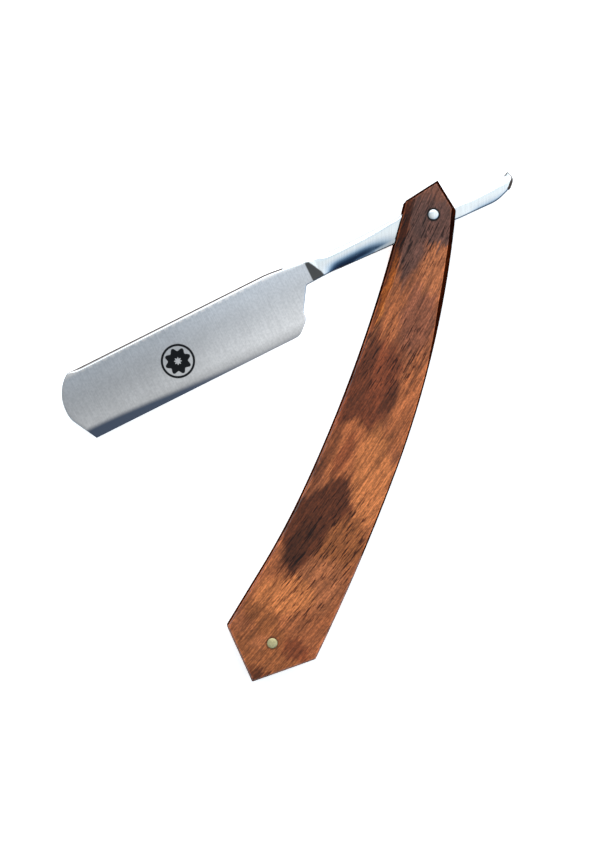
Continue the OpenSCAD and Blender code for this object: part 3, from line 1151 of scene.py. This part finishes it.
def make_pins(finish):
    """The steel pivot pin and the brass wedge pin, each with its front end peened to a dome."""
    steel = polished_steel("polished_steel_pin", finish)
    brass = peened_brass("peened_brass_pin", finish)
    edge = 0.12
    foot = FRONT_Z[1] - 0.05
    dome = PIN_TOP - FRONT_Z[1]
    rise = [(PIN_R * cos(a), PIN_TOP - dome + dome * sin(a)) for a in spread(radians(20), pi / 2, 8)]
    rise[-1] = (0, PIN_TOP)
    profile = [(0, 0), (PIN_R - edge, 0), (PIN_R, edge), (PIN_R, foot)] + rise
    for name, node, centre, material, slot in (
        ("pivot_pin_steel", "pivot_pin", PIVOT_PIN, steel, "pin_steel"),
        ("wedge_pin_brass", "wedge_pin", WEDGE_PIN, brass, "pin_brass"),
    ):
        piece = lathe(profile, centre).build(name, [material], sharp=40)
        carry(piece, HANDLE, slot, node)


def make_washers(finish):
    """The two brass washers beside the tang."""
    brass = peened_brass("stamped_brass_washers", finish)
    for node in ("rear_washer", "front_washer"):
        low, high = mm_box(node)
        outer = (high.x - low.x) / 2
        bore = PIN_R + 0.05
        edge = 0.08
        profile = [
            (bore, low.z + edge), (bore + edge, low.z), (outer - edge, low.z),
            (outer, low.z + edge), (outer, high.z - edge), (outer - edge, high.z),
            (bore + edge, high.z), (bore, high.z - edge), (bore, low.z + edge),
        ]
        piece = lathe(profile, middle(node)).build(f"{node}_brass", [brass], sharp=40)
        carry(piece, HANDLE, "washer_brass", node)


def make_wedge(size, finish):
    """The wooden wedge that keeps the scales apart at the closed end."""
    low, high = mm_box("wedge")
    ring = handle_ring(size, lambda p, side: 0.06)
    loop = [p for p in ring if p.y < WEDGE_TOP_Y]
    start = min(range(len(loop)), key=lambda i: (loop[i].x > 0, -loop[i].y))
    loop = loop[start:] + loop[:start]
    top = [Vector((x, WEDGE_TOP_Y)) for x in spread(loop[-1].x, loop[0].x, 16)]
    outline = loop + top
    shell = Shell()
    rounding = [(0.08, low.z + 0.02), (0, low.z + 0.12), (0, high.z - 0.12), (0.08, high.z - 0.02)]
    moves = inward(outline)
    rings = []
    for inset, z in rounding:
        rings.append(shell.add_loop([p + m * inset for p, m in zip(outline, moves)], z))
    for lower, upper in zip(rings, rings[1:]):
        shell.skin(lower, upper)
    under, over = shell.bore(WEDGE_PIN, [(PIN_R + 0.02, z) for _, z in rounding])
    shell.cap(rings[-1], [over], rounding[-1][1], 2.5)
    shell.cap(rings[0], [under], rounding[0][1], 2.5, up=False)
    # Painted shade: the wedge between the scales is painted dark with the side-wall shade tint
    material = rosewood("sanded_rosewood_wedge", finish, 21.0, 1, finish.edge_shade, 0.0)
    carry(shell.build("wedge_spacer", [material]), HANDLE, "wedge_wood", "wedge")


# ---------------------------------------------------------------- stage

def make_floor(stage, finish):
    """A plain pale floor that the razor lies on."""
    material, add = new_material("matt_white_floor")
    cloud = 125.0
    drop = 0.15
    centre = Vector((-20, -70))
    tone = pattern(add, place_on(add), (cloud, cloud, cloud))
    share = add("MapRange", tone, 0.3, 0.7, 0, 0.03, **SOFT)
    pale = add("Mix", {0: share, 6: finish.floor, 7: to_linear("#e8e8ea")}, **COLOURS)
    add("OutputMaterial", add("BsdfPrincipled", {
        "Base Color": pale, "Roughness": 0.9, "Emission Color": pale, "Emission Strength": 0.7,
    }))
    half = stage.floor_size / 2
    corners = [centre + Vector((x * half, y * half)) for x, y in ((-1, -1), (1, -1), (1, 1), (-1, 1))]
    shell = Shell()
    shell.face(shell.add_loop(corners, -drop))
    shell.build("floor", [material])


# Light tent round the razor: direction across the blade, from -1 behind its spine to 1 past
# its cutting edge, and the colour there
TENT = [
    (-1.0, "#ffffff"), (-0.74, "#ffffff"), (-0.58, "#cfe2ef"), (-0.25, "#d6e9f5"),
    (-0.08, "#f4fdff"), (0.06, "#f0f8fb"), (0.30, "#c6d9e8"), (0.44, "#8aa5be"),
    (0.58, "#48637f"), (0.72, "#22344e"), (0.90, "#141f30"), (1.0, "#80868e"),
]


def make_light(stage, blade):
    """A pale light tent, bright behind the spine and dark past the cutting edge, and a softbox."""
    world = bpy.data.worlds.new("light_tent")
    bpy.context.scene.world = world
    add = start_nodes(world)
    rotation = Matrix.Rotation(blade_turn(blade), 3, "Z")
    along = rotation @ Vector((1, 0, 0))
    across = rotation @ Vector((0, 1, 0))
    direction = add("TexCoord", out="Generated")
    edge_side = add("VectorMath", direction, across, operation="DOT_PRODUCT", out="Value")
    heel_side = add("VectorMath", direction, -along, operation="DOT_PRODUCT", out="Value")
    tent = add("ValToRGB", add("MapRange", edge_side, -1, 1))
    elements = tent.node.color_ramp.elements
    while len(elements) > 1:
        elements.remove(elements[-1])
    elements[0].position = 0
    elements[0].color = (*to_linear(TENT[0][1]), 1)
    for position, code in TENT[1:]:
        elements.new((position + 1) / 2).color = (*to_linear(code), 1)
    strength = add("MapRange", heel_side, -0.25, 0.30, 0.62, 1.60, **SOFT)
    add("OutputWorld", add("Background", {"Color": tent, "Strength": strength}))

    lamp = bpy.data.lights.new("softbox", "AREA")
    lamp.shape = "SQUARE"
    lamp.size = stage.softbox * MM
    lamp.energy = stage.softbox_power
    box = bpy.data.objects.new("softbox", lamp)
    bpy.context.scene.collection.objects.link(box)
    aim = Vector((-20, -60, 0)) * MM
    above, behind, heelward = 750, 550, 250
    box.location = aim + (Vector((0, 0, above)) - across * behind - along * heelward) * MM
    box.rotation_euler = (box.location - aim).to_track_quat("Z", "Y").to_euler()


def make_camera(stage):
    """A camera that looks almost straight down on the front scale."""
    data = bpy.data.cameras.new("camera")
    data.lens = stage.camera_lens
    data.clip_start = 10 * MM
    data.clip_end = 20
    camera = bpy.data.objects.new("camera", data)
    bpy.context.scene.collection.objects.link(camera)
    face = FRONT_Z[1]
    aim = Vector((-15.6, -73.0, face)) * MM
    location = Vector((-42.6, -92.6, face + stage.camera_height)) * MM
    tilt = radians(20.68)    # roll of the camera
    back = (location - aim).normalized()
    right = Vector((cos(tilt), sin(tilt), 0))
    up = back.cross(right).normalized()
    right = up.cross(back)
    turned = Matrix((right, up, back)).transposed().to_4x4()
    camera.matrix_world = Matrix.Translation(location) @ turned
    bpy.context.scene.camera = camera


# ---------------------------------------------------------------- operators and panel

class RazorOperator:
    """What every operator of the razor shares."""

    bl_options = {"REGISTER", "UNDO"}

    def settings(self, context):
        """The groups for handle, blade, finish and stage, with lengths in millimetres."""
        groups = [in_mm(getattr(context.scene, name)) for name, _ in GROUPS]
        groups[0].scale_t = FRONT_Z[1] - FRONT_Z[0]
        return groups


class RAZOR_OT_scales(RazorOperator, bpy.types.Operator):
    """Build the front and rear scale"""

    bl_idname = "razor.scales"
    bl_label = "Scales"

    def execute(self, context):
        handle, _, finish, _ = self.settings(context)
        make_scale(handle, finish, "front_scale", FRONT_Z, 1, 0.0)
        make_scale(handle, finish, "rear_scale", REAR_Z[::-1], -1, 9.0)
        return {"FINISHED"}


class RAZOR_OT_blade(RazorOperator, bpy.types.Operator):
    """Build the blade with its shank, tang and tail"""

    bl_idname = "razor.blade"
    bl_label = "Blade"

    def execute(self, context):
        _, blade, finish, _ = self.settings(context)
        make_blade(blade, finish)
        return {"FINISHED"}


class RAZOR_OT_pins(RazorOperator, bpy.types.Operator):
    """Build the pivot pin and the wedge pin"""

    bl_idname = "razor.pins"
    bl_label = "Pins"

    def execute(self, context):
        _, _, finish, _ = self.settings(context)
        make_pins(finish)
        return {"FINISHED"}


class RAZOR_OT_washers(RazorOperator, bpy.types.Operator):
    """Build the two washers beside the tang"""

    bl_idname = "razor.washers"
    bl_label = "Washers"

    def execute(self, context):
        _, _, finish, _ = self.settings(context)
        make_washers(finish)
        return {"FINISHED"}


class RAZOR_OT_wedge(RazorOperator, bpy.types.Operator):
    """Build the wedge between the scales"""

    bl_idname = "razor.wedge"
    bl_label = "Wedge"

    def execute(self, context):
        handle, _, finish, _ = self.settings(context)
        make_wedge(handle, finish)
        return {"FINISHED"}


class RAZOR_OT_stage(RazorOperator, bpy.types.Operator):
    """Build the floor, the light and the camera"""

    bl_idname = "razor.stage"
    bl_label = "Stage"

    def execute(self, context):
        _, blade, finish, stage = self.settings(context)
        make_floor(stage, finish)
        make_light(stage, blade)
        make_camera(stage)
        context.scene.view_settings.view_transform = "Standard"
        return {"FINISHED"}


class RAZOR_PT_panel(bpy.types.Panel):
    """Razor builder"""

    bl_label = "Straight Razor"
    bl_idname = "RAZOR_PT_panel"
    bl_space_type = "VIEW_3D"
    bl_region_type = "UI"
    bl_category = "Razor"

    def draw(self, context):
        for name, group in GROUPS:
            box = self.layout.box()
            box.label(text=group.__doc__)
            for prop in group.__annotations__:
                box.prop(getattr(context.scene, name), prop)
        for operator in OPERATORS:
            self.layout.operator(operator.bl_idname)


GROUPS = [
    ("razor_handle", RazorHandle),
    ("razor_blade", RazorBlade),
    ("razor_finish", RazorFinish),
    ("razor_stage", RazorStage),
]
OPERATORS = [
    RAZOR_OT_stage, RAZOR_OT_scales, RAZOR_OT_blade,
    RAZOR_OT_pins, RAZOR_OT_washers, RAZOR_OT_wedge,
]
CLASSES = [group for _, group in GROUPS] + OPERATORS + [RAZOR_PT_panel]


def register():
    for item in CLASSES:
        bpy.utils.register_class(item)
    for name, group in GROUPS:
        setattr(bpy.types.Scene, name, PointerProperty(type=group))


def unregister():
    for name, _ in GROUPS:
        delattr(bpy.types.Scene, name)
    for item in reversed(CLASSES):
        bpy.utils.unregister_class(item)


def main():
    """Builds every piece and the stage."""
    register()
    bpy.ops.razor.stage()
    bpy.ops.razor.scales()
    bpy.ops.razor.blade()
    bpy.ops.razor.pins()
    bpy.ops.razor.washers()
    bpy.ops.razor.wedge()


if __name__ == "__main__":
    main()
